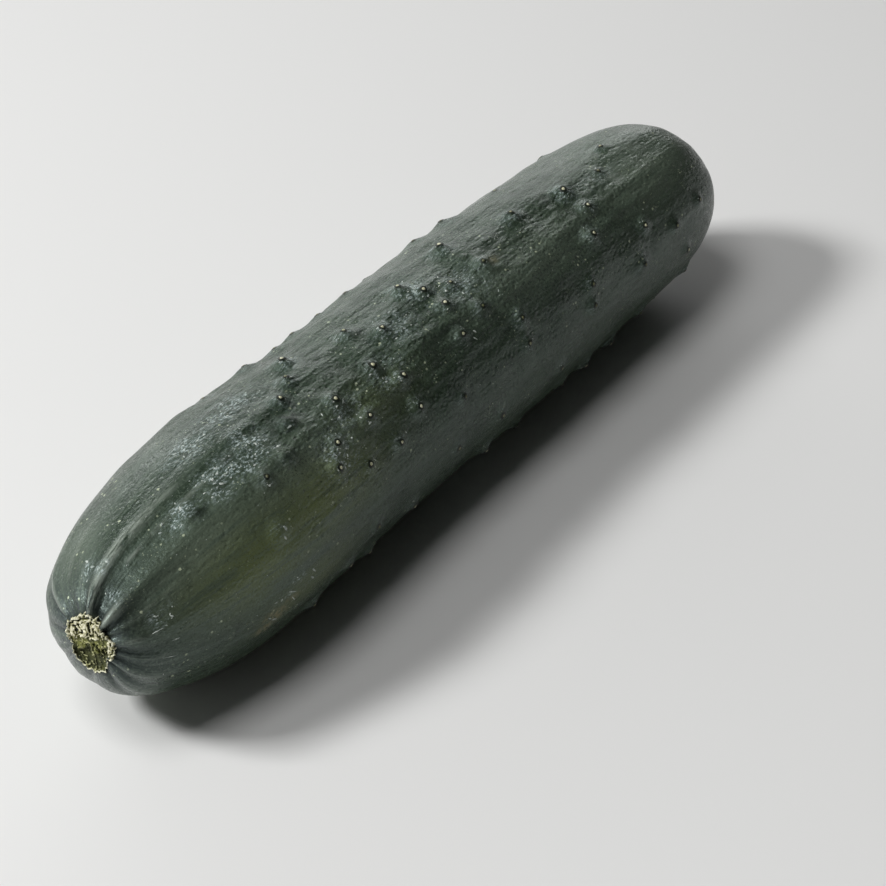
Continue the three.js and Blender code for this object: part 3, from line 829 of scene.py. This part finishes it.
def skin_colour(n, flow, streaks, hairs, fine, grainy, dry):
    """Colour of the skin, layer upon layer."""
    colour = n.mix(n.span(n.noise(38, 3, 0.5), 0.35, 0.68), DEEP_GREEN, MID_GREEN)
    colour = n.mix(n.times(n.span(n.noise(210, 4, 0.6, streaks), 0.42, 0.72), 0.6), colour, MOTTLE)
    # Greyer, lighter patches, partly the skin's own tone and partly painted light and sheen
    colour = n.mix(n.times(n.layer("faded_and_painted_light"), 0.8), colour, FADED_GREEN_AND_PAINTED_LIGHT)
    colour = n.mix(n.times(n.layer("olive"), 0.85), colour, OLIVE_GREEN)
    colour = n.mix(n.times(n.layer("near_stem"), 0.75), colour, STEM_BLUE)
    colour = n.mix(n.times(n.span(n.noise(760, 3, 0.65, hairs), 0.5, 0.64), 0.7), colour, HAIR_LINE)
    colour = n.mix(n.times(n.span(fine, 0.52, 0.63), 0.7), colour, LIGHT_GRAIN)
    colour = n.mix(n.times(n.span(fine, 0.36, 0.47, 0.8, 0.0), grainy), colour, DARK_GRAIN)
    # Pale specks of uneven size, in some places only
    uneven = n.span(n.noise(420, 2, 0.6), 0.36, 0.62, 0.7, 2.6)
    specks = n.times(n.cells(640, n.stretched(0.8, 1.0, 1.0)), uneven)
    dust = n.times(n.cells(1150, flow), uneven)
    specks = n.math("MAXIMUM", n.span(specks, 0.10, 0.16, 1.0, 0.0), n.span(dust, 0.10, 0.17, 0.6, 0.0))
    sparse = n.span(n.noise(130, 2, 0.5), 0.42, 0.60)
    colour = n.mix(n.times(n.times(specks, sparse), 0.95), colour, SPECK)
    # Pale ribs' edges, painted shade in the creases round the stalk scar, and the dark seam round it
    broken = n.span(n.noise(700, 4, 0.7, streaks), 0.36, 0.6)
    colour = n.mix(n.times(n.times(n.layer("line"), broken), 0.9), colour, RIB_EDGE)
    colour = n.mix(n.times(n.layer("crease_shade_and_seam"), 0.85), colour, CREASE_SHADE_AND_SEAM)
    # Waxy scuffs in flecks, also on the crowns of the warts, where the flecks are partly wax and partly
    # painted glints
    flecks = n.noise(2300, 4, 0.7, n.stretched(0.45, 1.0, 1.0, flow))
    where = n.math("MAXIMUM", n.layer("scuff"), n.times(n.layer("crown_wax_and_glint"), 0.55))
    where = n.times(where, n.span(n.noise(300, 3, 0.6), 0.36, 0.54))
    colour = n.mix(n.times(n.times(where, n.span(flecks, 0.44, 0.54)), 0.8), colour, WORN_WAX_AND_GLINT)
    colour = n.mix(n.times(where, n.span(flecks, 0.54, 0.60)), colour, BRIGHT_WAX_AND_GLINT)
    # Dark stains that look wet, and the dark skin round each wart's tip
    ragged = n.span(n.noise(420, 4, 0.65), 0.35, 0.62)
    colour = n.mix(n.times(n.times(n.layer("stain"), ragged), 0.85), colour, STAIN_DARK)
    colour = n.mix(n.times(n.layer("ring"), 0.45), colour, RING_DARK)
    # Dry tan skin, also at the blossom end
    colour = n.mix(n.times(dry, 0.9), colour, DRY_TAN)
    tip = n.times(n.layer("near_tip"), n.span(n.noise(600, 4, 0.6), 0.3, 0.62))
    return n.mix(n.times(tip, 0.85), colour, BLOSSOM_TAN)


def skin_gloss(n, streaks, fine, dry):
    """Roughness: waxy skin, duller on scuffs and dry spots."""
    gloss = n.span(n.noise(160, 3, 0.6, streaks), 0.3, 0.7, 0.20, 0.42)
    gloss = n.math("ADD", gloss, n.span(fine, 0.35, 0.65, 0.10, -0.10))
    gloss = n.math("ADD", gloss, n.times(n.layer("scuff"), 0.10))
    return n.math("ADD", gloss, n.times(dry, 0.3), clamp=True)


def skin_normal(n, flow, hairs, fine, grainy):
    """Folds, wrinkles, lumps, pits and hair lines, stronger between the warts."""
    rough = n.span(n.layer("warty"), 0.0, 1.0, 0.2, 1.0)
    folds = n.noise(390, 2, 0.5, n.stretched(0.12, 1.0, 1.0, flow))
    wrinkles = n.noise(330, 2, 0.5, n.stretched(0.3, 1.0, 1.0, flow), 0.4)
    lumps = n.noise(560, 2, 0.5)
    pits = n.span(n.cells(820, n.stretched(0.6, 1.0, 1.0)), 0.0, 0.5)
    normal = n.bump(n.times(folds, rough), 0.0009, 0.6)
    normal = n.bump(n.times(wrinkles, rough), 0.0008, 0.6, normal)
    normal = n.bump(n.times(lumps, rough), 0.0006, 0.55, normal)
    normal = n.bump(n.times(pits, grainy), 0.00024, 0.7, normal)
    normal = n.bump(n.times(fine, grainy), 0.0002, 1.0, normal)
    return n.bump(n.noise(900, 3, 0.6, hairs), 0.00016, 0.8, normal)


def skin_material():
    n = Nodes("cucumber_skin")
    flow = n.layer("flow")
    streaks = n.stretched(0.2, 1.0, 1.0, flow)
    hairs = n.stretched(0.06, 1.0, 1.0, flow)
    fine = n.noise(2100, 3, 0.7)
    grainy = n.span(n.layer("warty"), 0.0, 0.7, 0.45, 1.0)
    dry = n.times(n.layer("tan"), n.span(n.noise(800, 4, 0.7), 0.38, 0.6))
    n.set("Base Color", skin_colour(n, flow, streaks, hairs, fine, grainy, dry))
    n.set("Roughness", skin_gloss(n, streaks, fine, dry))
    n.set("Specular IOR Level", 0.5)
    n.set("Specular Tint", WAX_TINT)
    n.set("Normal", skin_normal(n, flow, hairs, fine, grainy))
    return n.material


def tip_material():
    n = Nodes("wart_tip")
    cork = n.noise(2600, 3, 0.6)
    pale = n.mix(n.span(cork, 0.3, 0.7), (0.50, 0.50, 0.28), (0.84, 0.83, 0.64))
    dull = n.mix(n.span(cork, 0.3, 0.7), (0.075, 0.085, 0.035), (0.20, 0.20, 0.10))
    body = n.mix(n.span(n.layer("pale"), 0.25, 0.7), dull, pale)
    n.set("Base Color", n.mix(n.span(n.layer("collar"), 0.1, 0.7), body, (0.010, 0.016, 0.009)))
    n.set("Roughness", n.span(cork, 0.3, 0.7, 0.42, 0.62))
    n.set("Normal", n.bump(cork, 0.00008, 0.6))
    return n.material


def fleck_material():
    # Pale dry wax, and on the crowns of the warts also painted glints
    n = Nodes("dry_wax_and_glints")
    cloud = n.noise(900, 3, 0.6)
    n.set("Base Color", n.mix(n.span(cloud, 0.35, 0.65), (0.26, 0.31, 0.28), (0.68, 0.73, 0.68)))
    n.set("Roughness", n.span(cloud, 0.3, 0.7, 0.45, 0.7))
    n.set("Normal", n.bump(n.noise(3200, 2, 0.6), 0.00004, 0.5))
    return n.material


def stub_material():
    n = Nodes("dry_stalk")
    grain = n.noise(1500, 4, 0.65)
    patch = n.noise(700, 4, 0.65)
    olive = n.mix(n.span(patch, 0.35, 0.65), (0.050, 0.058, 0.010), (0.20, 0.21, 0.05))
    vein = n.times(n.span(n.layer("vein"), 0.45, 0.9), n.span(grain, 0.40, 0.55, 0.2, 0.95))
    middle = n.mix(vein, olive, (0.50, 0.49, 0.24))
    lower = n.mix(vein, n.mix(0.3, (0.016, 0.021, 0.006), olive), (0.50, 0.50, 0.26))
    straw = n.mix(n.span(grain, 0.35, 0.6), (0.36, 0.34, 0.15), (0.88, 0.86, 0.66))
    upper = n.mix(n.span(n.layer("ridge"), 0.1, 0.5), (0.020, 0.023, 0.007), (0.22, 0.22, 0.07))
    upper = n.mix(n.span(n.layer("ridge"), 0.5, 0.85), upper, straw)
    colour = n.mix(n.layer("upper"), n.mix(n.layer("lower"), middle, lower), upper)
    rim = n.mix(n.span(grain, 0.3, 0.6), (0.34, 0.34, 0.17), (0.86, 0.85, 0.66))
    n.set("Base Color", n.mix(n.span(n.layer("rim"), 0.3, 0.8), colour, rim))
    n.set("Roughness", n.span(grain, 0.3, 0.7, 0.6, 0.9))
    n.set("Normal", n.bump(grain, 0.0003, 0.8))
    return n.material


def floor_material():
    n = Nodes("pale_floor")
    cloud = n.noise(3, 3, 0.5)
    n.set("Base Color", n.mix(cloud, (0.77, 0.77, 0.76), (0.80, 0.80, 0.79)))
    n.set("Roughness", 0.85)
    return n.material


# Pieces
skin = make_skin()
skin.data.materials.append(skin_material())
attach(skin, "root")
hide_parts("fruit")

tips = make_tips()
tips.data.materials.append(tip_material())
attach(tips, "root")

flecks = make_flecks()
flecks.data.materials.append(fleck_material())
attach(flecks, "root")

scar = make_stub()
scar.data.materials.append(stub_material())
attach(scar, "root")
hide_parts("stalk_stub")

# Floor, light and camera
FLOOR_HALF = 4.0
CORNERS = ((-1, -1), (1, -1), (1, 1), (-1, 1))
floor = object_from("floor", [(x * FLOOR_HALF, y * FLOOR_HALF, 0) for x, y in CORNERS], [(0, 1, 2, 3)])
floor.data.materials.append(floor_material())


def area_light(name, place, size, power, aim=(0, 0, 0.02)):
    lamp = bpy.data.lights.new(name, "AREA")
    lamp.shape = "RECTANGLE"
    lamp.size, lamp.size_y = size
    lamp.energy = power
    holder = bpy.data.objects.new(name, lamp)
    holder.location = place
    holder.rotation_mode = "QUATERNION"
    holder.rotation_quaternion = (Vector(aim) - Vector(place)).to_track_quat("-Z", "Y")
    bpy.context.scene.collection.objects.link(holder)
    return holder


area_light("key", (-0.82, 0.80, 1.02), (0.38, 0.29), 19)
area_light("top", (-0.45, 0.15, 1.25), (0.5, 0.5), 5.2)
area_light("back_card", (0.95, 0.93, 0.36), (1.3, 0.34), 5)


def studio_world():
    """White walls behind and to the left, dim overhead and on the near side."""
    world = bpy.data.worlds.new("studio")
    world.use_nodes = True
    tree = world.node_tree
    shade = tree.nodes["Background"]
    place = tree.nodes.new("ShaderNodeTexCoord")

    def fall(way, low, high, at_low, at_high):
        along = tree.nodes.new("ShaderNodeVectorMath")
        along.operation = "DOT_PRODUCT"
        along.inputs[1].default_value = way
        span = tree.nodes.new("ShaderNodeMapRange")
        span.interpolation_type = "SMOOTHSTEP"
        span.inputs["From Min"].default_value = low
        span.inputs["From Max"].default_value = high
        span.inputs["To Min"].default_value = at_low
        span.inputs["To Max"].default_value = at_high
        tree.links.new(place.outputs["Generated"], along.inputs[0])
        tree.links.new(along.outputs["Value"], span.inputs["Value"])
        return span.outputs[0]

    strength = tree.nodes.new("ShaderNodeMath")
    strength.operation = "MULTIPLY"
    tree.links.new(fall((0, 0, 1), 0.05, 0.55, 1.0, 0.40), strength.inputs[0])
    tree.links.new(fall((-0.5, 0.85, 0), -0.40, 0.50, 0.0, 0.42), strength.inputs[1])
    tree.links.new(strength.outputs[0], shade.inputs["Strength"])
    shade.inputs["Color"].default_value = (1.0, 1.0, 1.0, 1.0)
    return world


bpy.context.scene.world = studio_world()
bpy.context.scene.view_settings.view_transform = "Standard"

# Where the camera stands and aims, in degrees and metres, and its lens in mm
AZIMUTH = -55.8
ELEVATION = 35.0
DISTANCE = 0.6283
AIM = (0.0005, -0.0005, 0.0235)
AIM_RIGHT = 0.0086
AIM_UP = -0.0138
LENS = 113.4
SENSOR = 36.0

turn, rise = math.radians(AZIMUTH), math.radians(ELEVATION)
back = Vector((math.sin(turn) * math.cos(rise), -math.cos(turn) * math.cos(rise), math.sin(rise)))
right = Vector((math.cos(turn), math.sin(turn), 0))
above = back.cross(right)
lens = bpy.data.cameras.new("camera")
lens.lens = LENS
lens.sensor_width = SENSOR
lens.clip_start, lens.clip_end = 0.01, 50
camera = bpy.data.objects.new("camera", lens)
camera.location = Vector(AIM) + back * DISTANCE + right * AIM_RIGHT + above * AIM_UP
camera.rotation_mode = "QUATERNION"
camera.rotation_quaternion = (-back).to_track_quat("-Z", "Y")
bpy.context.scene.collection.objects.link(camera)
bpy.context.scene.camera = camera
